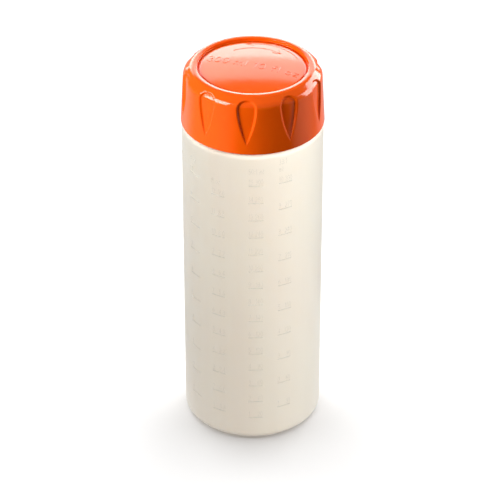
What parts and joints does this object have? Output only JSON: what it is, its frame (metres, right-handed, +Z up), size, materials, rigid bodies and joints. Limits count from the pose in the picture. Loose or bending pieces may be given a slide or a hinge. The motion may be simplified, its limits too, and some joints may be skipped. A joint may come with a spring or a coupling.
{
  "type": "graduated bottle with screw cap",
  "caption": "Straight translucent plastic measuring bottle with raised volume scales and a ribless screw cap with teardrop finger grips and a sealing disc.",
  "frame": {"origin": "centre of the base, on the surface that the bottle stands on", "axes": "+Z up the bottle's axis towards the cap; the volume scales face -Y, so +X is to the right of a person who reads them"},
  "size_m": [0.0586, 0.0586, 0.1666],
  "materials": {
    "translucent_plastic": "milky translucent polyethylene with a soft satin skin",
    "orange_plastic": "smooth moulded orange polypropylene with a soft gloss",
    "sealing_foam": "white closed-cell polyethylene foam"
  },
  "bodies": {
    "bottle": {"bottle": "translucent_plastic"},
    "sealing_disc": {"sealing_disc": "sealing_foam"},
    "screw_cap": {"screw_cap": "orange_plastic"}
  },
  "joints": [
    {"name": "cap_rise", "type": "slide", "parent": "bottle", "child": "sealing_disc", "axis": [0, 0, 1], "range_m": [0, 0.0271]},
    {"name": "cap_turn", "type": "hinge", "parent": "sealing_disc", "child": "screw_cap", "pos_m": [0, 0, 0.15], "axis": [0, 0, 1], "range_deg": [0, 2160]}
  ],
  "couplings": [
    {"joint": "cap_rise", "follows": "cap_turn", "m_per_rad": 0.0007162}
  ]
}
